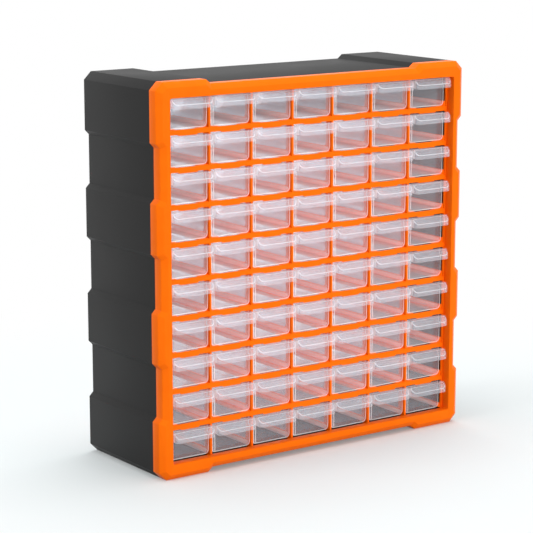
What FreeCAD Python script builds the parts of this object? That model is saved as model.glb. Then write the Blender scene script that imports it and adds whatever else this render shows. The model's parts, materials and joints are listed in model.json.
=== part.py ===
import FreeCAD, Part
import math
import os
from FreeCAD import Vector

# Small parts cabinet: a dark moulded casing with an open back, an orange front frame
# with a grid of posts and rails, runners behind the grid, and clear drawers with
# hooded handles.
# Millimetres, +Z up, the front faces -Y. The origin is at the middle of the base.
# Depths are counted from the front face of the frame towards the back.

# The drawer grid
column_count = 7
row_count = 10
column_pitch = 59.0
row_pitch = 43.0

# Front frame
frame_side_band = 16.4
frame_end_band = 18.4
frame_depth = 18.2
frame_wall = 2.4
frame_chamfer_depth = 5.1
frame_chamfer_width = 6.5
tunnel_depth = 12.4
opening_corner_radius = 2.0
opening_side_margin = 2.1
opening_floor_margin = 3.0
opening_top_margin = 2.6

# Lobed outline shared by the frame and the casing
lobe_rise = 5.2
corner_chamfer = 9.5
side_lobes_per_side = 4
corner_lobe_height = 71.5
side_step_length = 5.4
pad_length = 68.0
pad_step_length = 6.5

# Casing
casing_depth = 160.0
casing_wall = 2.5
spigot_thickness = 1.3
spigot_length = 5.0
spigot_overlap = 4.0
spigot_clearance = 0.2
hanging_hole_radius = 4.0
hanging_hole_spacing = 300.0
hanging_hole_drop = 17.0
rear_side_band = 16.0
rear_top_band = 30.0
rear_bottom_band = 48.0
rear_corner_radius = 8.0

# Posts and rails of the grid
post_width = 2.4
post_depth = 11.6
rail_height = 5.6
rail_depth = 2.4
rail_tab_width = 27.0
rail_tab_drop = 1.3
rail_tab_slope = 1.5
end_strip_width = 2.2

# Runners behind the grid
ledge_width = 12.0
ledge_thickness = 1.6
ledge_rise = 3.2
web_rise = 8.7
web_gusset = 4.5
floor_rib_ledge = 8.0
runner_rear_gap = 1.5
stop_thickness = 2.4
stop_reach = 3.5

# Drawers
drawer_side_gap = 0.5
drawer_floor_gap = 0.3
drawer_recess = 3.0
drawer_back_gap = 0.8
drawer_wall = 1.3
drawer_front_wall = 1.6
drawer_bottom_radius = 5.0
drawer_side_drop = 6.0

# Hooded handle of a drawer
hood_overhang = 2.0
hood_wall = 1.4
hood_corner_radius = 6.0
hood_root_clearance = 0.3
hood_ridge_setback = 6.9
hood_ridge_lift = 0.8
hood_slope_drop = 6.6
hood_lip_height = 5.2
hood_cheek_lift = 2.4

# One overrun serves every cut
overrun = 10.0

# Share of an edge's length by which it may lean and still count as parallel
angle_share = 0.001

# Sizes that follow from the ones above
half_opening_width = column_count * column_pitch / 2 + opening_side_margin
half_width = half_opening_width + frame_side_band
first_line = frame_end_band - opening_floor_margin
top_line = first_line + row_count * row_pitch
opening_floor = frame_end_band
opening_top = top_line - opening_top_margin
overall_height = opening_top + frame_end_band
front_shift = (casing_depth - hood_overhang) / 2
rail_rear = tunnel_depth + rail_depth
post_rear = tunnel_depth + post_depth
back_wall_face = casing_depth - casing_wall
drawer_front = tunnel_depth + drawer_recess
runner_rear = back_wall_face - runner_rear_gap
stop_front = runner_rear - stop_thickness
drawer_rear = stop_front - drawer_back_gap
drawer_width = column_pitch - post_width - 2 * drawer_side_gap
drawer_bottom = ledge_rise + drawer_floor_gap

# Rows that share one node, because the number of files is limited
grouped_rows = (8, 9, 10)


def place(x, depth, z):
    """A point from its side position, its depth behind the front and its height."""
    return Vector(x, depth - front_shift, z)


def block(x_low, x_high, depth_low, depth_high, z_low, z_high):
    """A box between two side positions, two depths and two heights."""
    return Part.makeBox(x_high - x_low, depth_high - depth_low, z_high - z_low,
                        place(x_low, depth_low, z_low))


def column_line(index):
    """Side position of a grid line between columns, 0 at the left end."""
    return (index - column_count / 2) * column_pitch


def row_line(index):
    """Height of a grid line between rows, 0 under the bottom row."""
    return first_line + index * row_pitch


def lobed_outline():
    """Corners of the lobed outline in the X-Z plane, counter-clockwise from the front."""
    side_segments = 2 * side_lobes_per_side - 3
    segment = (overall_height - 2 * corner_lobe_height) / side_segments
    half_step = side_step_length / 2
    right = [(half_width, corner_chamfer)]
    for index in range(side_segments + 1):
        middle = corner_lobe_height + index * segment
        below = half_width if index % 2 == 0 else half_width - lobe_rise
        above = half_width - lobe_rise if index % 2 == 0 else half_width
        right.append((below, middle - half_step))
        right.append((above, middle + half_step))
    right.append((half_width, overall_height - corner_chamfer))
    pad_end = half_width - pad_length
    recess_end = pad_end - pad_step_length
    bottom_right = [(recess_end, lobe_rise), (pad_end, 0), (half_width - corner_chamfer, 0)]
    top_right = [(half_width - corner_chamfer, overall_height), (pad_end, overall_height),
                 (recess_end, overall_height - lobe_rise)]
    right_half = bottom_right + right + top_right
    left_half = [(-x, z) for x, z in reversed(right_half)]
    return right_half + left_half


def inset_outline(points, distance):
    """The same corners moved inwards, so that every side moves by one distance."""
    count = len(points)
    result = []
    for index in range(count):
        before = Vector(*points[index - 1], 0)
        here = Vector(*points[index], 0)
        after = Vector(*points[(index + 1) % count], 0)
        first = (here - before).normalize()
        second = (after - here).normalize()
        first_inward = Vector(-first.y, first.x, 0)
        second_inward = Vector(-second.y, second.x, 0)
        bisector = first_inward + second_inward
        moved = here + bisector * (2 * distance / bisector.dot(bisector))
        result.append((moved.x, moved.y))
    return result


def outline_wire(points, depth):
    """A closed wire through X-Z corners at one depth."""
    corners = [place(x, depth, z) for x, z in points]
    return Part.makePolygon(corners + corners[:1])


def outline_prism(points, depth_low, depth_high):
    """The outline drawn out from one depth to another."""
    face = Part.Face(outline_wire(points, depth_low))
    return face.extrude(Vector(0, depth_high - depth_low, 0))


def outline_taper(front_points, front_depth, rear_points, rear_depth):
    """Flat facets between two outlines with the same corners."""
    wires = [outline_wire(front_points, front_depth), outline_wire(rear_points, rear_depth)]
    return Part.makeLoft(wires, True, True)


def rounded_opening(half_span, z_low, z_high, radius, depth_low, depth_high):
    """A straight hole with rounded corners, drawn out from one depth to another."""
    solid = block(-half_span, half_span, depth_low, depth_high, z_low, z_high)
    edges = [edge for edge in solid.Edges if is_along(edge, Vector(0, 1, 0))]
    return solid.makeFillet(radius, edges)


def is_along(edge, direction):
    """Whether a straight edge runs along a direction."""
    run = edge.Vertexes[-1].Point - edge.Vertexes[0].Point
    return run.Length > 0 and run.cross(direction).Length < run.Length * angle_share


def front_bezel():
    """Orange frame: a lobed ring with a chamfered front edge, hollow from behind."""
    outline = lobed_outline()
    outer = outline_prism(outline, frame_chamfer_depth, frame_depth)
    nose = outline_taper(inset_outline(outline, frame_chamfer_width), 0,
                         outline, frame_chamfer_depth)
    hollow_front = inset_outline(outline, frame_chamfer_width + frame_wall)
    hollow_rear = inset_outline(outline, casing_wall)
    hollow_bend = frame_chamfer_depth + frame_wall / 2
    hollow_nose = outline_taper(hollow_front, frame_wall, hollow_rear, hollow_bend)
    hollow = outline_prism(hollow_rear, hollow_bend, frame_depth + overrun)
    tunnel = block(-half_opening_width - frame_wall, half_opening_width + frame_wall,
                   0, tunnel_depth, opening_floor - frame_wall, opening_top + frame_wall)
    opening = rounded_opening(half_opening_width, opening_floor, opening_top,
                              opening_corner_radius, -overrun, frame_depth + overrun)
    ring = outer.fuse(nose).cut(hollow).cut(hollow_nose)
    return ring.fuse(tunnel).cut(opening).removeSplitter()


def outer_casing():
    """Dark shell with a rim round its open back and a spigot that enters the frame."""
    outline = lobed_outline()
    inner = inset_outline(outline, casing_wall)
    shell = outline_prism(outline, frame_depth, casing_depth)
    shell = shell.cut(outline_prism(inner, frame_depth - overrun, back_wall_face))
    spigot_outer = inset_outline(outline, casing_wall + spigot_clearance)
    spigot_inner = inset_outline(outline, casing_wall + spigot_clearance + spigot_thickness)
    spigot_rear = frame_depth + spigot_overlap
    spigot = outline_prism(spigot_outer, frame_depth - spigot_length, spigot_rear)
    collar = outline_prism(inner, frame_depth, spigot_rear)
    bore = outline_prism(spigot_inner, -overrun, casing_depth)
    shell = shell.fuse(spigot.fuse(collar).cut(bore))
    shell = shell.cut(rounded_opening(half_width - rear_side_band, rear_bottom_band,
                                      overall_height - rear_top_band, rear_corner_radius,
                                      back_wall_face - overrun, casing_depth + overrun))
    for side in (-1, 1):
        centre = place(side * hanging_hole_spacing / 2, back_wall_face - overrun,
                       overall_height - hanging_hole_drop)
        length = casing_wall + 2 * overrun
        shell = shell.cut(Part.makeCylinder(hanging_hole_radius, length, centre, Vector(0, 1, 0)))
    return shell.removeSplitter()


def grid_posts():
    """Upright posts, notched where the rails cross, and a thin strip at each end."""
    foot = opening_floor - frame_wall
    head = opening_top + frame_wall
    solids = []
    for index in range(1, column_count):
        middle = column_line(index)
        left = middle - post_width / 2
        right = middle + post_width / 2
        post = block(left, right, tunnel_depth, post_rear, foot, head)
        for line in range(1, row_count + 1):
            rail_top = row_line(line) + rail_height / 2
            notch = block(left - overrun, right + overrun, tunnel_depth - overrun, rail_rear,
                          row_line(line) - rail_height / 2, rail_top)
            post = post.cut(notch)
        solids += post.Solids
    for side in (-1, 1):
        near = side * (half_opening_width - end_strip_width)
        far = side * (half_opening_width + frame_wall)
        solids.append(block(min(near, far), max(near, far), tunnel_depth, rail_rear,
                            foot, head))
    return Part.makeCompound(solids)


def cross_rails():
    """Level rails, each with a short tab over the middle of every drawer."""
    half_run = half_opening_width - end_strip_width
    solids = []
    for line in range(1, row_count + 1):
        height = row_line(line)
        bottom = height - rail_height / 2
        rail = block(-half_run, half_run, tunnel_depth, rail_rear,
                     bottom, height + rail_height / 2)
        for index in range(column_count):
            middle = column_line(index) + column_pitch / 2
            half_root = rail_tab_width / 2
            half_tip = half_root - rail_tab_slope
            corners = [(middle - half_root, bottom), (middle - half_tip, bottom - rail_tab_drop),
                       (middle + half_tip, bottom - rail_tab_drop), (middle + half_root, bottom)]
            rail = rail.fuse(outline_prism(corners, tunnel_depth, rail_rear))
        solids += rail.removeSplitter().Solids
    return Part.makeCompound(solids)


def web(column_index, line):
    """Upright strip beside a drawer, with a gusset behind a post."""
    middle = column_line(column_index)
    at_end = column_index in (0, column_count)
    front = rail_rear if at_end else post_rear
    foot = row_line(line) + (ledge_rise if line == 0 else ledge_rise - ledge_thickness)
    top = row_line(line) + web_rise
    left = middle - post_width / 2
    right = middle + post_width / 2
    solid = block(left, right, front, stop_front, foot, top)
    if not at_end:
        filler = block(left, right, front, front + web_gusset, top, top + web_gusset)
        centre = place(left - overrun, front + web_gusset, top + web_gusset)
        curve = Part.makeCylinder(web_gusset, post_width + 2 * overrun, centre, Vector(1, 0, 0))
        solid = solid.fuse(filler.cut(curve)).removeSplitter()
    return solid


def runner_webs():
    """Every upright strip of the runners."""
    return Part.makeCompound([web(index, line) for line in range(row_count)
                              for index in range(column_count + 1)])


def drawer_sides(column_index):
    """The sides of a column line that have a drawer: -1 for left, 1 for right."""
    sides = []
    if column_index > 0:
        sides.append(-1)
    if column_index < column_count:
        sides.append(1)
    return sides


def runner_ledges():
    """Level ledges on both sides of each web, which carry the drawers above."""
    solids = []
    for line in range(1, row_count):
        top = row_line(line) + ledge_rise
        for index in range(column_count + 1):
            for side in drawer_sides(index):
                near = column_line(index) + side * post_width / 2
                far = near + side * ledge_width
                solids.append(block(min(near, far), max(near, far), rail_rear, runner_rear,
                                    top - ledge_thickness, top))
    return Part.makeCompound(solids)


def drawer_stops():
    """Blocks on the rear ends of the webs, against which the closed drawers stop."""
    solids = []
    for line in range(row_count):
        for index in range(column_count + 1):
            sides = drawer_sides(index)
            reach_left = stop_reach if -1 in sides else 0
            reach_right = stop_reach if 1 in sides else 0
            solids.append(block(column_line(index) - post_width / 2 - reach_left,
                                column_line(index) + post_width / 2 + reach_right,
                                stop_front, runner_rear,
                                row_line(line) + ledge_rise, row_line(line) + web_rise))
    return Part.makeCompound(solids)


def floor_ribs():
    """Ribs on the casing's floor that carry the bottom row of drawers."""
    top = row_line(0) + ledge_rise
    solids = []
    for index in range(column_count + 1):
        sides = drawer_sides(index)
        reach_left = floor_rib_ledge if -1 in sides else 0
        reach_right = floor_rib_ledge if 1 in sides else 0
        low = column_line(index) - post_width / 2 - reach_left
        high = column_line(index) + post_width / 2 + reach_right
        over_foot = abs(column_line(index)) > half_width - pad_length
        floor = casing_wall if over_foot else lobe_rise + casing_wall
        solids.append(block(low, high, post_rear, back_wall_face, floor, top))
    return Part.makeCompound(solids)


def tray_section(half_span, bottom, radius, depth_low, depth_high, top):
    """A length of drawer with rounded bottom corners."""
    solid = block(-half_span, half_span, depth_low, depth_high, bottom, top)
    edges = [edge for edge in solid.Edges
             if is_along(edge, Vector(0, 1, 0)) and edge.CenterOfMass.z < (bottom + top) / 2]
    return solid.makeFillet(radius, edges)


def hood_solid(half_span, front, rear, corner_radius, wall_in, lip_bottom):
    """Hood seen from the side, cut to its rounded outline seen from above."""
    root = row_pitch - rail_height / 2 - rail_tab_drop - hood_root_clearance - wall_in
    ridge_height = root + hood_ridge_lift
    ridge = -hood_overhang + hood_ridge_setback
    slope_shift = wall_in * math.tan(math.atan2(hood_slope_drop, hood_ridge_setback) / 2)
    crease = ridge_height - hood_slope_drop * (ridge + slope_shift - front) / hood_ridge_setback
    top_side = [(rear, root), (tunnel_depth, root), (ridge + slope_shift, ridge_height),
                (front, crease)]
    if wall_in > 0:
        side = top_side + [(front, -overrun), (rear, -overrun)]
    else:
        side = top_side + [(front, lip_bottom), (rear, lip_bottom + hood_cheek_lift)]
    corners = [place(-half_span, depth, z) for depth, z in side]
    profile = Part.Face(Part.makePolygon(corners + corners[:1]))
    body = profile.extrude(Vector(2 * half_span, 0, 0))
    plan = block(-half_span, half_span, front, rear + overrun, -overrun, row_pitch)
    edges = [edge for edge in plan.Edges
             if is_along(edge, Vector(0, 0, 1)) and edge.CenterOfMass.y < place(0, rear, 0).y]
    return body.common(plan.makeFillet(corner_radius, edges))


def drawer():
    """One drawer in the middle of the width, its height counted from its row line."""
    half_span = drawer_width / 2
    side_top = row_pitch - drawer_side_drop
    front_top = row_pitch - rail_height / 2 - rail_tab_drop - hood_root_clearance
    tray = tray_section(half_span, drawer_bottom, drawer_bottom_radius,
                        drawer_front, drawer_rear, side_top)
    front_plate = tray_section(half_span, drawer_bottom, drawer_bottom_radius, drawer_front,
                               drawer_front + drawer_front_wall, front_top)
    inside = tray_section(half_span - drawer_wall, drawer_bottom + drawer_wall,
                          drawer_bottom_radius - drawer_wall, drawer_front + drawer_front_wall,
                          drawer_rear - drawer_wall, row_pitch)
    lip_bottom = front_top + hood_ridge_lift - hood_slope_drop - hood_lip_height
    hood = hood_solid(half_span, -hood_overhang, drawer_front, hood_corner_radius, 0, lip_bottom)
    finger_space = hood_solid(half_span - hood_wall, hood_wall - hood_overhang,
                              drawer_front, hood_corner_radius - hood_wall, hood_wall,
                              lip_bottom)
    return tray.fuse([front_plate, hood.cut(finger_space)]).cut(inside).removeSplitter()


def place_drawer(template, column, row):
    """A copy of the drawer in its cell, with row 1 at the top."""
    copy = template.copy()
    middle = column_line(column - 1) + column_pitch / 2
    copy.translate(Vector(middle, 0, row_line(row_count - row)))
    return copy


def write(shape, name):
    """Check a shape and save it under its node's name."""
    if not shape.isValid():
        raise ValueError(name + " is not a valid shape")
    shape.exportStep(os.path.join("parts", name + ".step"))
    print(name, len(shape.Solids), "solid(s)", round(shape.Volume), "mm3")


os.makedirs("parts", exist_ok=True)

write(outer_casing(), "outer_casing")
write(floor_ribs(), "floor_ribs")
write(front_bezel(), "front_bezel")
write(grid_posts(), "grid_posts")
write(cross_rails(), "cross_rails")
write(runner_webs(), "runner_webs")
write(runner_ledges(), "runner_ledges")
write(drawer_stops(), "drawer_stops")

drawer_template = drawer()
for row in range(1, row_count + 1):
    drawers = [place_drawer(drawer_template, column, row) for column in range(1, column_count + 1)]
    if row in grouped_rows:
        write(Part.makeCompound(drawers), "drawer_row_%02d" % row)
    else:
        for column, solid in enumerate(drawers, 1):
            write(solid, "drawer_r%02d_c%d" % (row, column))
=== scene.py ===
import json
import math

import bmesh
import bpy
from mathutils import Matrix, Vector

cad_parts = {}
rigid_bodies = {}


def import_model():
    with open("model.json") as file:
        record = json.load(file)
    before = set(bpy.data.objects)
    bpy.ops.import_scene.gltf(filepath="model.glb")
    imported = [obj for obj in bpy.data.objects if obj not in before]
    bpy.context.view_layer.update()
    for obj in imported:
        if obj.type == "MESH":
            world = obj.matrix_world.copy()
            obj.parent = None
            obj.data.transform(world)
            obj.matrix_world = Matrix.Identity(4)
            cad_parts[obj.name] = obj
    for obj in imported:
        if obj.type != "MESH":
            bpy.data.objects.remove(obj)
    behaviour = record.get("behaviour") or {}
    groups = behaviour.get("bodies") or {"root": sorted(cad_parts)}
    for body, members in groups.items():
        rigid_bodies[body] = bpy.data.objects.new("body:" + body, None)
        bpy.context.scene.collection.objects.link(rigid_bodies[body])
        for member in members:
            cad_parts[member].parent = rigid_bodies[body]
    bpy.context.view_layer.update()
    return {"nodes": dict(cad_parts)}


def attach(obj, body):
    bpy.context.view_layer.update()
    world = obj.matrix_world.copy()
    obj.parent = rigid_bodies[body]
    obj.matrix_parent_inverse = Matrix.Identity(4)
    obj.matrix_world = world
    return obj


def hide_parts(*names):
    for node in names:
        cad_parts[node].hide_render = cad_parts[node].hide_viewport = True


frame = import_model()


# The object's sizes are in millimetres. Depths are counted from the frame's front face,
# which lies FRONT_SHIFT before the origin.
MM = 0.001
FRONT_SHIFT = 79.0

# The drawer grid, row 1 at the top and column 1 at the left
COLUMNS = 7
ROWS = 10
COLUMN_PITCH = 59.0
ROW_PITCH = 43.0
FIRST_LINE = 15.4
GROUPED_ROWS = (8, 9, 10)

# A drawer's tray, with heights counted from its row line
HALF_WIDTH = 27.8
TRAY_FRONT = 15.4
TRAY_REAR = 152.8
TRAY_FLOOR = 3.5
SIDE_TOP = 37.0
PLATE_TOP = 38.6
PLATE_WALL = 1.6
TRAY_WALL = 1.3
FLOOR_RADIUS = 5.0
FLOOR_SEGMENTS = 6

# The hooded handle, where a point of the outline is a depth and a height
HOOD_FRONT = -2.0
HOOD_REAR = 16.2
HOOD_WALL = 1.4
HOOD_CORNER_RADIUS = 6.0
HOOD_CORNER_SEGMENTS = 7
HOOD_LEVEL_DEPTH = 12.4
HOOD_RIDGE = (4.9, 39.4)
HOOD_CREASE = (-2.0, 32.8)
HOOD_LIP_BOTTOM = 27.6
HOOD_CHEEK_BOTTOM = 30.1
HOOD_BEND_RADIUS = 0.9
HOOD_BEND_SEGMENTS = 3

# The hood's rear corners above this height are brought level with the front plate
HOOD_SHOULDER = 35.0

# Rounding of a drawer's rims, which its shortest edge holds to far less than this
RIM_RADIUS = 0.25

# Rounding of the edges of the casing and the frame
SHELL_RADIUS = 0.5

# Steps in the rounding of rims and of edges
EDGE_SEGMENTS = 2

# Shorter edges of a drawer are merged away before and after its rims are rounded
SHORTEST_EDGE = 0.1
SLIVER = 0.02

# Corners of the CAD mesh that are nearer to each other than this are one corner
WELD = 0.01

# Ribs on a drawer's front that hold a label
GUIDE_LINES = (-25.5, -22.5)
GUIDE_WIDTH = 0.6
GUIDE_HEIGHT = 0.3
GUIDE_FOOT = 5.0
GUIDE_TOP = 30.0

# Narrower faces are the edge or a bend of a wall, and a rim is no longer than this
WIDEST_RIM = 1.7
LONGEST_RIM = 4 * HALF_WIDTH

# How far beyond a surface something lies when it no longer belongs to it
MARGIN = 0.1

# Faces that meet at less than the first angle are one, and edges past the others are sharp
FLAT_ANGLE = math.radians(1)
BEND_ANGLE = math.radians(20)
SHADED_ANGLE = math.radians(35)
RIM_ANGLE = math.radians(50)

# How much of a direction lies along an axis
MOSTLY_ALONG = 0.9
FULLY_ALONG = 0.99
HALF_DOWNWARD = -0.7
DEPTH_AXIS = 1
UP_AXIS = 2

# The places of a drawer's finishes in its mesh
FRONT_FINISH, WALL_FINISH, EDGE_FINISH, HOOD_FINISH, FLOOR_FINISH = range(5)

# CAD nodes of each opaque plastic
CASING_NODES = ("outer_casing", "floor_ribs")
FRAME_NODES = ("front_bezel", "grid_posts", "cross_rails", "runner_webs", "runner_ledges",
               "drawer_stops")

# The joint between the casing and the frame, and the width of the shade painted along its gap
CASING_FRONT = 18.2
JOINT_SHADE_WIDTH = 0.8

# Widths in the plastics' patterns. The grain is nine to 10 mm, coarser than the real one,
# which is too fine to show. The clouds are seven to 500 mm, and the ripples three to 50 mm.
GRAIN_WIDTH = 10 / 9
CLOUD_WIDTH = 500 / 7
RIPPLE_WIDTH = 50 / 3

# Depths between which the clear plastic turns hazy
HAZE_FROM = 88.0
HAZE_TO = 100.0

# How late haze and gloss grow as the clear plastic is seen at a more grazing angle
GRAZING_POWER = 5.0

# The floor, and the distances between which it turns white, in metres as all that follows
FLOOR_HALF_WIDTH = 4.0
FADE_FROM = 0.25
FADE_TO = 0.8

# Points that the lamps face
LOWER_PART = (0, 0, 0.2)
DRAWERS = (0, 0, 0.25)

# The photograph's viewpoint, fitted to the frame's corners, with angles in degrees
CAMERA_PLACE = (-1.4231, -1.9509, 0.6966)
CAMERA_TILT = 90 - 11.27
CAMERA_TURN = -35.73
CAMERA_LENS = 135.6
SENSOR_WIDTH = 36.0
NEAREST_SEEN = 0.05

# How often light may bounce, and how many clear walls it may pass on its way to the open back
BOUNCES = 6
CLEAR_WALLS = 64


def at(x, depth, z):
    """A point in metres from a side position, a depth and a height in millimetres."""
    return Vector((x, depth - FRONT_SHIFT, z)) * MM


def per_metre(width):
    """The scale of a noise whose bumps have a width in millimetres."""
    return 1 / (width * MM)


def linear(hex_colour):
    """A linear colour with alpha 1 from an sRGB hex value."""
    channels = [int(hex_colour[start:start + 2], 16) / 255 for start in (0, 2, 4)]
    values = [c / 12.92 if c <= 0.04045 else ((c + 0.055) / 1.055) ** 2.4 for c in channels]
    return (*values, 1.0)


def add_object(name, data):
    """A new object at the origin, in the scene."""
    item = bpy.data.objects.new(name, data)
    bpy.context.scene.collection.objects.link(item)
    return item


def add_node(tree, kind, settings=None, inputs=None):
    """Add a node, give it its settings, and set or link its inputs."""
    node = tree.nodes.new(kind)
    for name, value in (settings or {}).items():
        setattr(node, name, value)
    for name, value in (inputs or {}).items():
        if isinstance(value, bpy.types.NodeSocket):
            tree.links.new(value, node.inputs[name])
        else:
            node.inputs[name].default_value = value
    return node


def new_material(name):
    """An empty node material and its node tree."""
    material = bpy.data.materials.new(name)
    material.use_nodes = True
    material.node_tree.nodes.clear()
    return material, material.node_tree


def charcoal_abs():
    """Moulded ABS with a fine spark-eroded grain: dark and dull, with shade painted near black
    along the joint with the frame.
    """
    material, tree = new_material("charcoal_abs")
    place = add_node(tree, "ShaderNodeTexCoord").outputs["Object"]
    grain = add_node(tree, "ShaderNodeTexNoise", None,
                     {"Vector": place, "Scale": per_metre(GRAIN_WIDTH), "Detail": 3.0,
                      "Roughness": 0.6})
    cloud = add_node(tree, "ShaderNodeTexNoise", None,
                     {"Vector": place, "Scale": per_metre(CLOUD_WIDTH), "Detail": 4.0,
                      "Roughness": 0.55})
    moulded = add_node(tree, "ShaderNodeMix", {"data_type": "RGBA"},
                       {"Factor": cloud.outputs["Fac"], "A": linear("232323"),
                        "B": linear("2A2A2A")})
    axes = add_node(tree, "ShaderNodeSeparateXYZ", None, {"Vector": place})
    # A near-black band along the casing's front edge is painted shade, standing for the shadow in
    # the gap where the casing meets the frame.
    joint_shade = add_node(tree, "ShaderNodeMath", {"operation": "LESS_THAN"},
                    {0: axes.outputs["Y"], 1: at(0, CASING_FRONT + JOINT_SHADE_WIDTH, 0).y})
    tone = add_node(tree, "ShaderNodeMix", {"data_type": "RGBA"},
                    {"Factor": joint_shade.outputs["Value"], "A": moulded.outputs["Result"],
                     "B": linear("060608")})
    dull = add_node(tree, "ShaderNodeMapRange", None,
                    {"Value": cloud.outputs["Fac"], "To Min": 0.5, "To Max": 0.62})
    bump = add_node(tree, "ShaderNodeBump", None,
                    {"Height": grain.outputs["Fac"], "Strength": 0.25, "Distance": 0.0002})
    shader = add_node(tree, "ShaderNodeBsdfPrincipled", None,
                      {"Base Color": tone.outputs["Result"], "Roughness": dull.outputs["Result"],
                       "IOR": 1.5, "Specular IOR Level": 0.2,
                       "Normal": bump.outputs["Normal"]})
    add_node(tree, "ShaderNodeOutputMaterial", None, {"Surface": shader.outputs["BSDF"]})
    return material


def orange_abs():
    """Smooth moulded ABS, orange all through: a satin gloss with a faint ripple."""
    material, tree = new_material("orange_abs")
    place = add_node(tree, "ShaderNodeTexCoord").outputs["Object"]
    ripple = add_node(tree, "ShaderNodeTexNoise", None,
                      {"Vector": place, "Scale": per_metre(RIPPLE_WIDTH), "Detail": 2.0})
    tone = add_node(tree, "ShaderNodeMix", {"data_type": "RGBA"},
                    {"Factor": ripple.outputs["Fac"], "A": linear("FB6C08"),
                     "B": linear("FF740C")})
    bump = add_node(tree, "ShaderNodeBump", None,
                    {"Height": ripple.outputs["Fac"], "Strength": 0.12, "Distance": 0.0005})
    shader = add_node(tree, "ShaderNodeBsdfPrincipled", None,
                      {"Base Color": tone.outputs["Result"], "Roughness": 0.32, "IOR": 1.5,
                       "Specular IOR Level": 0.05, "Normal": bump.outputs["Normal"]})
    add_node(tree, "ShaderNodeOutputMaterial", None, {"Surface": shader.outputs["BSDF"]})
    return material


def polystyrene(name, haze, rear_haze, grazing_haze, returned, shine, tint):
    """Clear moulded polystyrene with a soft gloss on its skin.

    The hazes are the share of light that it scatters: seen straight on in the front half and
    in the rear half of a drawer, and seen at a grazing angle. Returned is the part of that
    which goes back. Shine is the gloss straight on and at a grazing angle.
    """
    material, tree = new_material(name)
    place = add_node(tree, "ShaderNodeTexCoord").outputs["Object"]
    axes = add_node(tree, "ShaderNodeSeparateXYZ", None, {"Vector": place})
    density = add_node(tree, "ShaderNodeMapRange", {"interpolation_type": "SMOOTHSTEP"},
                       {"Value": axes.outputs["Y"], "From Min": at(0, HAZE_FROM, 0).y,
                        "From Max": at(0, HAZE_TO, 0).y, "To Min": haze, "To Max": rear_haze})
    facing = add_node(tree, "ShaderNodeLayerWeight", None, {"Blend": 0.5})
    grazing = add_node(tree, "ShaderNodeMath", {"operation": "POWER"},
                       {0: facing.outputs["Facing"], 1: GRAZING_POWER})
    thick = add_node(tree, "ShaderNodeMapRange", None,
                     {"Value": grazing.outputs["Value"], "To Min": density.outputs["Result"],
                      "To Max": grazing_haze})
    mirror = add_node(tree, "ShaderNodeMapRange", None,
                      {"Value": grazing.outputs["Value"], "To Min": shine[0], "To Max": shine[1]})
    straight = add_node(tree, "ShaderNodeBsdfTransparent", None, {"Color": linear("FDFDFE")})
    onwards = add_node(tree, "ShaderNodeBsdfTranslucent", None, {"Color": linear(tint)})
    back = add_node(tree, "ShaderNodeBsdfDiffuse", None, {"Color": linear(tint)})
    cloud = add_node(tree, "ShaderNodeMixShader", None,
                     {0: returned, 1: onwards.outputs["BSDF"], 2: back.outputs["BSDF"]})
    body = add_node(tree, "ShaderNodeMixShader", None,
                    {0: thick.outputs["Result"], 1: straight.outputs["BSDF"],
                     2: cloud.outputs["Shader"]})
    gloss = add_node(tree, "ShaderNodeBsdfGlossy", None,
                     {"Color": linear("FFFFFF"), "Roughness": 0.12})
    skin = add_node(tree, "ShaderNodeMixShader", None,
                    {0: mirror.outputs["Result"], 1: body.outputs["Shader"],
                     2: gloss.outputs["BSDF"]})
    add_node(tree, "ShaderNodeOutputMaterial", None, {"Surface": skin.outputs["Shader"]})
    return material


def add_block(shape, low, high):
    """Add a block between two opposite corners, and give its eight corners."""
    verts = bmesh.ops.create_cube(shape, size=1.0)["verts"]
    bmesh.ops.scale(shape, vec=high - low, verts=verts)
    bmesh.ops.translate(shape, vec=(low + high) / 2, verts=verts)
    return verts


def drawer_wide_block(depth_low, depth_high, z_low, z_high):
    """A block as wide as a drawer, as a bmesh."""
    shape = bmesh.new()
    add_block(shape, at(-HALF_WIDTH, depth_low, z_low), at(HALF_WIDTH, depth_high, z_high))
    return shape


def bmesh_from(mesh):
    """A bmesh with the contents of a mesh."""
    shape = bmesh.new()
    shape.from_mesh(mesh)
    return shape


def fill_mesh(mesh, shape):
    """Put a bmesh into a mesh, free it, and give the mesh."""
    shape.to_mesh(mesh)
    shape.free()
    return mesh


def everything_in(shape):
    """All corners, edges and faces of a bmesh."""
    return shape.verts[:] + shape.edges[:] + shape.faces[:]


def edges_along(shape, axis, chosen):
    """Edges that run along one axis and whose middle passes a test."""
    found = []
    for edge in shape.edges:
        run = edge.verts[1].co - edge.verts[0].co
        middle = (edge.verts[0].co + edge.verts[1].co) / 2
        if abs(run[axis]) > FULLY_ALONG * run.length and chosen(middle):
            found.append(edge)
    return found


def sharp_edges(edges, angle):
    """Those edges between two faces that meet at more than an angle."""
    return [edge for edge in edges
            if len(edge.link_faces) == 2 and edge.calc_face_angle() > angle]


def round_edges(shape, edges, radius, segments):
    """Bevel edges to a radius in millimetres, and give the new faces."""
    return bmesh.ops.bevel(shape, geom=edges, offset=radius * MM, offset_type="OFFSET",
                           segments=segments, profile=0.5, affect="EDGES",
                           clamp_overlap=True, material=-1)["faces"]


def merge_flat_faces(shape):
    """Make each flat area one face."""
    bmesh.ops.dissolve_limit(shape, angle_limit=FLAT_ANGLE, verts=shape.verts, edges=shape.edges)


def thicken(shape, wall):
    """Give an open skin a wall of a width in millimetres."""
    bmesh.ops.solidify(shape, geom=shape.faces[:], thickness=wall * MM)
    bmesh.ops.recalc_face_normals(shape, faces=shape.faces)


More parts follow.
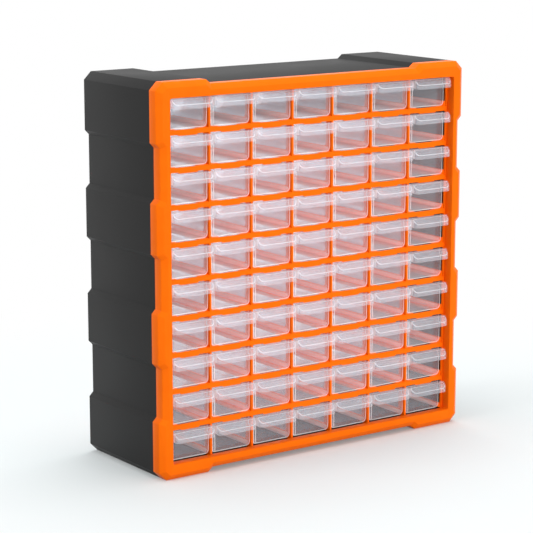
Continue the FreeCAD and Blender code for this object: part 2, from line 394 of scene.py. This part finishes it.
def tray():
    """The open tray: a thin shell with rounded floor corners and a taller front."""
    shape = drawer_wide_block(TRAY_FRONT, TRAY_REAR, TRAY_FLOOR, SIDE_TOP)
    middle_height = at(0, 0, (TRAY_FLOOR + SIDE_TOP) / 2).z
    floor_edges = edges_along(shape, DEPTH_AXIS, lambda middle: middle.z < middle_height)
    round_edges(shape, floor_edges, FLOOR_RADIUS, FLOOR_SEGMENTS)
    lid = [face for face in shape.faces if face.normal.z > MOSTLY_ALONG]
    bmesh.ops.delete(shape, geom=lid, context="FACES_ONLY")
    thicken(shape, TRAY_WALL)
    rim_depth = at(0, TRAY_FRONT + PLATE_WALL, 0).y
    rim = [face for face in shape.faces
           if face.normal.z > MOSTLY_ALONG and face.calc_center_median().y < rim_depth
           and face.calc_center_median().z > middle_height]
    raised = bmesh.ops.extrude_face_region(shape, geom=rim)["geom"]
    lifted = [item for item in raised if isinstance(item, bmesh.types.BMVert)]
    bmesh.ops.translate(shape, vec=(0, 0, (PLATE_TOP - SIDE_TOP) * MM), verts=lifted)
    bmesh.ops.delete(shape, geom=rim, context="FACES_ONLY")
    return shape


def cut_away(shape, point, normal, fill):
    """Cut a shape with a plane, drop what lies beyond it, and close the cut if asked."""
    cut = bmesh.ops.bisect_plane(shape, geom=everything_in(shape), plane_co=point,
                                 plane_no=normal, clear_outer=True)["geom_cut"]
    edges = [item for item in cut if isinstance(item, bmesh.types.BMEdge)]
    if fill:
        bmesh.ops.contextual_create(shape, geom=edges)
    return edges


def hood():
    """The hood: a sloped top and a short lip between two cheeks, open underneath."""
    shape = drawer_wide_block(HOOD_FRONT, HOOD_REAR, TRAY_FLOOR, ROW_PITCH)
    middle_depth = at(0, (HOOD_FRONT + HOOD_REAR) / 2, 0).y
    corners = edges_along(shape, UP_AXIS, lambda middle: middle.y < middle_depth)
    round_edges(shape, corners, HOOD_CORNER_RADIUS, HOOD_CORNER_SEGMENTS)
    slope = Vector((0, HOOD_RIDGE[0] - HOOD_CREASE[0], HOOD_RIDGE[1] - HOOD_CREASE[1]))
    crease = cut_away(shape, at(0, *HOOD_CREASE), (0, -slope.z, slope.y), True)
    back = Vector((0, HOOD_LEVEL_DEPTH - HOOD_RIDGE[0], PLATE_TOP - HOOD_RIDGE[1]))
    ridge = cut_away(shape, at(0, *HOOD_RIDGE), (0, -back.z, back.y), True)
    bmesh.ops.bisect_plane(shape, geom=everything_in(shape),
                           plane_co=at(0, HOOD_LEVEL_DEPTH, 0), plane_no=(0, 1, 0))
    shoulder = at(0, HOOD_REAR - MARGIN, HOOD_SHOULDER)
    for vert in shape.verts:
        if vert.co.y > shoulder.y and vert.co.z > shoulder.z:
            vert.co.z = at(0, 0, PLATE_TOP).z
    cheek = Vector((0, TRAY_FRONT - HOOD_FRONT, HOOD_CHEEK_BOTTOM - HOOD_LIP_BOTTOM))
    cut_away(shape, at(0, HOOD_FRONT, HOOD_LIP_BOTTOM), (0, cheek.z, -cheek.y), False)
    open_faces = [face for face in shape.faces if face.normal.y > MOSTLY_ALONG]
    bmesh.ops.delete(shape, geom=open_faces, context="FACES_ONLY")
    loose = [edge for edge in shape.edges if not edge.link_faces]
    bmesh.ops.delete(shape, geom=loose, context="EDGES")
    folds = set(crease + ridge)
    bends = [edge for edge in shape.edges if edge in folds]
    round_edges(shape, sharp_edges(bends, BEND_ANGLE), HOOD_BEND_RADIUS, HOOD_BEND_SEGMENTS)
    thicken(shape, HOOD_WALL)
    return shape


def tray_with_hood():
    """The tray and the hood in one skin, as a bmesh."""
    body = add_object("tray", fill_mesh(bpy.data.meshes.new("tray"), tray()))
    handle = add_object("hood", fill_mesh(bpy.data.meshes.new("hood"), hood()))
    union = body.modifiers.new("union", "BOOLEAN")
    union.operation = "UNION"
    union.solver = "MANIFOLD"
    union.object = handle
    settled = body.evaluated_get(bpy.context.evaluated_depsgraph_get())
    mesh = bpy.data.meshes.new_from_object(settled)
    shape = bmesh_from(mesh)
    bpy.data.meshes.remove(mesh)
    bpy.data.objects.remove(body)
    bpy.data.objects.remove(handle)
    return shape


def round_rims(shape):
    """Round a drawer's rims as far as its shortest edge lets them, and merge slivers away."""
    bmesh.ops.remove_doubles(shape, verts=shape.verts, dist=SHORTEST_EDGE * MM)
    bmesh.ops.dissolve_degenerate(shape, dist=SHORTEST_EDGE * MM, edges=shape.edges)
    merge_flat_faces(shape)
    round_edges(shape, sharp_edges(shape.edges, RIM_ANGLE), RIM_RADIUS, EDGE_SEGMENTS)
    bmesh.ops.dissolve_degenerate(shape, dist=SLIVER * MM, edges=shape.edges)
    spare = [vert for vert in shape.verts if len(vert.link_edges) == 2]
    while spare:
        bmesh.ops.dissolve_verts(shape, verts=spare)
        spare = [vert for vert in shape.verts if len(vert.link_edges) == 2]


def assign_finishes(shape):
    """Give each face of a drawer its finish, and shade the bends and wall edges smooth."""
    plate_front = at(0, TRAY_FRONT - MARGIN, 0).y
    plate_rear = at(0, TRAY_FRONT + PLATE_WALL + MARGIN, 0).y
    floor_top = at(0, 0, TRAY_FLOOR + TRAY_WALL + MARGIN).z
    largest_rim = TRAY_WALL * LONGEST_RIM * MM * MM
    for face in shape.faces:
        middle = face.calc_center_median()
        narrowest = min(edge.calc_length() for edge in face.edges)
        face.smooth = narrowest < WIDEST_RIM * MM
        rim = face.calc_area() < largest_rim and face.smooth
        face.material_index = WALL_FINISH
        if middle.y < plate_front:
            face.material_index = HOOD_FINISH
            rim = rim and (narrowest < 2 * RIM_RADIUS * MM or face.normal.z < HALF_DOWNWARD)
        elif middle.y < plate_rear:
            face.material_index = FRONT_FINISH
        elif middle.z < floor_top:
            face.material_index = FLOOR_FINISH
        if rim:
            face.material_index = EDGE_FINISH


def label_guides(shape):
    """Two fine upright ribs at the left of the front, which hold a paper label."""
    faces = []
    for x in GUIDE_LINES:
        low = at(x - GUIDE_WIDTH / 2, TRAY_FRONT - GUIDE_HEIGHT, GUIDE_FOOT)
        high = at(x + GUIDE_WIDTH / 2, TRAY_FRONT + GUIDE_HEIGHT, GUIDE_TOP)
        verts = add_block(shape, low, high)
        faces += {face for vert in verts for face in vert.link_faces}
    return faces


def drawer_template(finishes):
    """One drawer over the row line at the middle of the width, tray and hood in one skin."""
    shape = tray_with_hood()
    round_rims(shape)
    assign_finishes(shape)
    plate = max((face for face in shape.faces if face.normal.y < -FULLY_ALONG),
                key=lambda face: face.calc_area())
    border = bmesh.ops.inset_region(shape, faces=[plate], thickness=TRAY_WALL * MM)["faces"]
    border += label_guides(shape)
    for face in border:
        face.material_index = EDGE_FINISH
    mesh = bpy.data.meshes.new("drawer")
    for finish in finishes:
        mesh.materials.append(finish)
    fill_mesh(mesh, shape)
    mesh.set_sharp_from_angle(angle=SHADED_ANGLE)
    return mesh


def row_of_drawers(template, row, columns):
    """Copies of the drawer in the cells of one row, in one mesh."""
    shape = bmesh.new()
    for column in columns:
        copy = template.copy()
        x = (column - (COLUMNS + 1) / 2) * COLUMN_PITCH
        z = FIRST_LINE + (ROWS - row) * ROW_PITCH
        copy.transform(Matrix.Translation(Vector((x, 0, z)) * MM))
        shape.from_mesh(copy)
        bpy.data.meshes.remove(copy)
    return fill_mesh(template.copy(), shape)


def add_drawers(template, node, row, columns):
    """Drawers that stand for a CAD node and ride on its body."""
    piece = add_object("clear_" + node, row_of_drawers(template, row, columns))
    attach(piece, node)
    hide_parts(node)


def add_rounded_shell(node):
    """A copy of a shell with every sharp edge slightly rounded, which stands for its node."""
    mesh = frame["nodes"][node].data.copy()
    shape = bmesh_from(mesh)
    bmesh.ops.remove_doubles(shape, verts=shape.verts, dist=WELD * MM)
    merge_flat_faces(shape)
    sharp = sharp_edges(shape.edges, BEND_ANGLE)
    for face in round_edges(shape, sharp, SHELL_RADIUS, EDGE_SEGMENTS):
        face.smooth = True
    fill_mesh(mesh, shape)
    mesh.set_sharp_from_angle(angle=SHADED_ANGLE)
    piece = add_object("rounded_" + node, mesh)
    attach(piece, "cabinet")
    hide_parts(node)


for material, nodes in ((charcoal_abs(), CASING_NODES), (orange_abs(), FRAME_NODES)):
    for node in nodes:
        frame["nodes"][node].data.materials.clear()
        frame["nodes"][node].data.materials.append(material)
add_rounded_shell("outer_casing")
add_rounded_shell("front_bezel")

# The drawer's finishes, in the order of their places in its mesh
template = drawer_template([
    polystyrene("clear_polystyrene", haze=0.05, rear_haze=0.05, grazing_haze=0.3,
                returned=0.4, shine=(0.04, 0.6), tint="F3F3FC"),
    polystyrene("textured_polystyrene", haze=0.18, rear_haze=0.35, grazing_haze=0.8,
                returned=0.35, shine=(0.03, 0.3), tint="ECF4F8"),
    polystyrene("polystyrene_edge", haze=0.5, rear_haze=0.5, grazing_haze=0.5,
                returned=0.5, shine=(0.04, 1.0), tint="FFFFFF"),
    polystyrene("hood_polystyrene", haze=0.17, rear_haze=0.17, grazing_haze=0.5,
                returned=0.4, shine=(0.03, 0.2), tint="E8F2FA"),
    polystyrene("floor_polystyrene", haze=0.06, rear_haze=0.3, grazing_haze=1.0,
                returned=0.4, shine=(0.03, 0.15), tint="E4F3F8")])
for row in range(1, ROWS + 1):
    if row in GROUPED_ROWS:
        add_drawers(template, "drawer_row_%02d" % row, row, range(1, COLUMNS + 1))
    else:
        for column in range(1, COLUMNS + 1):
            add_drawers(template, "drawer_r%02d_c%d" % (row, column), row, [column])
bpy.data.meshes.remove(template)


def seen_directly(tree, path):
    """A node that gives 1 to rays from the camera, a gloss or a clear wall, and 0 to others."""
    seen = add_node(tree, "ShaderNodeMath", {"operation": "MAXIMUM"},
                    {0: path.outputs["Is Camera Ray"], 1: path.outputs["Is Glossy Ray"]})
    return add_node(tree, "ShaderNodeMath", {"operation": "MAXIMUM"},
                    {0: seen.outputs["Value"], 1: path.outputs["Is Transmission Ray"]})


def pale_floor():
    """A white floor that takes the soft shadow and fades into the white background."""
    material, tree = new_material("pale_floor")
    place = add_node(tree, "ShaderNodeTexCoord").outputs["Object"]
    away = add_node(tree, "ShaderNodeVectorMath", {"operation": "LENGTH"}, {0: place})
    fade = add_node(tree, "ShaderNodeMapRange", {"interpolation_type": "SMOOTHSTEP"},
                    {"Value": away.outputs["Value"], "From Min": FADE_FROM,
                     "From Max": FADE_TO, "To Min": 0.16})
    path = add_node(tree, "ShaderNodeLightPath")
    seen = seen_directly(tree, path)
    share = add_node(tree, "ShaderNodeMath", {"operation": "MULTIPLY"},
                     {0: seen.outputs["Value"], 1: fade.outputs["Result"]})
    bounced = add_node(tree, "ShaderNodeMix", {"data_type": "RGBA"},
                       {"Factor": path.outputs["Is Diffuse Ray"], "A": linear("DEE5E6"),
                        "B": linear("A8A8A8")})
    matt = add_node(tree, "ShaderNodeBsdfDiffuse", None, {"Color": bounced.outputs["Result"]})
    white = add_node(tree, "ShaderNodeEmission", None, {"Strength": 1.0})
    mixed = add_node(tree, "ShaderNodeMixShader", None,
                     {0: share.outputs["Value"], 1: matt.outputs["BSDF"],
                      2: white.outputs["Emission"]})
    add_node(tree, "ShaderNodeOutputMaterial", None, {"Surface": mixed.outputs["Shader"]})
    return material


def add_floor():
    """A large floor at the height of the feet."""
    shape = bmesh.new()
    bmesh.ops.create_grid(shape, x_segments=1, y_segments=1, size=FLOOR_HALF_WIDTH)
    mesh = fill_mesh(bpy.data.meshes.new("floor"), shape)
    mesh.materials.append(pale_floor())
    add_object("floor", mesh)


def add_world():
    """White studio surroundings, which give less light than their white shows."""
    world = bpy.data.worlds.new("studio")
    world.use_nodes = True
    tree = world.node_tree
    tree.nodes.clear()
    seen = seen_directly(tree, add_node(tree, "ShaderNodeLightPath"))
    strength = add_node(tree, "ShaderNodeMapRange", None,
                        {"Value": seen.outputs["Value"], "To Min": 0.6, "To Max": 1.0})
    light = add_node(tree, "ShaderNodeBackground", None,
                     {"Color": linear("FFFFFF"), "Strength": strength.outputs["Result"]})
    add_node(tree, "ShaderNodeOutputWorld", None, {"Surface": light.outputs["Background"]})
    bpy.context.scene.world = world


def add_softbox(name, place, target, width, height, power):
    """A large rectangular lamp that faces a point and that no gloss mirrors."""
    light = bpy.data.lights.new(name, "AREA")
    light.shape = "RECTANGLE"
    light.size = width
    light.size_y = height
    light.energy = power
    lamp = add_object(name, light)
    lamp.location = place
    lamp.rotation_euler = (Vector(target) - Vector(place)).to_track_quat("-Z", "Y").to_euler()
    lamp.visible_glossy = False
    return lamp


def add_camera():
    """The photograph's viewpoint."""
    data = bpy.data.cameras.new("camera")
    data.sensor_width = SENSOR_WIDTH
    data.lens = CAMERA_LENS
    data.clip_start = NEAREST_SEEN
    camera = add_object("camera", data)
    camera.location = CAMERA_PLACE
    camera.rotation_euler = (math.radians(CAMERA_TILT), 0, math.radians(CAMERA_TURN))
    bpy.context.scene.camera = camera


add_floor()
add_world()
add_softbox("softbox_front", place=(0.5, -2.9, 0.5), target=LOWER_PART,
            width=1.6, height=0.9, power=52)
add_softbox("softbox_left", place=(-2.2, 0.2, 1.9), target=LOWER_PART,
            width=1.4, height=1.4, power=26)
add_softbox("softbox_top", place=(0.5, 0.4, 2.4), target=LOWER_PART,
            width=2.0, height=2.0, power=38)

# Lamps behind the open back and before the front, which reach only drawers and runners
drawer_lamps = [add_softbox("softbox_back", place=(0, 0.6, 0.25), target=DRAWERS,
                            width=0.6, height=0.5, power=7),
                add_softbox("softbox_fill", place=(-0.9, -1.6, 0.9), target=DRAWERS,
                            width=1.0, height=1.0, power=34)]
drawer_set = bpy.data.collections.new("drawers_and_runners")
for piece in bpy.data.objects:
    if "drawer" in piece.name or "runner" in piece.name:
        drawer_set.objects.link(piece)
for lamp in drawer_lamps:
    lamp.visible_camera = False
    lamp.light_linking.receiver_collection = drawer_set
add_camera()

scene = bpy.context.scene
scene.view_settings.view_transform = "Standard"
scene.cycles.diffuse_bounces = BOUNCES
scene.cycles.glossy_bounces = BOUNCES
scene.cycles.transparent_max_bounces = CLEAR_WALLS
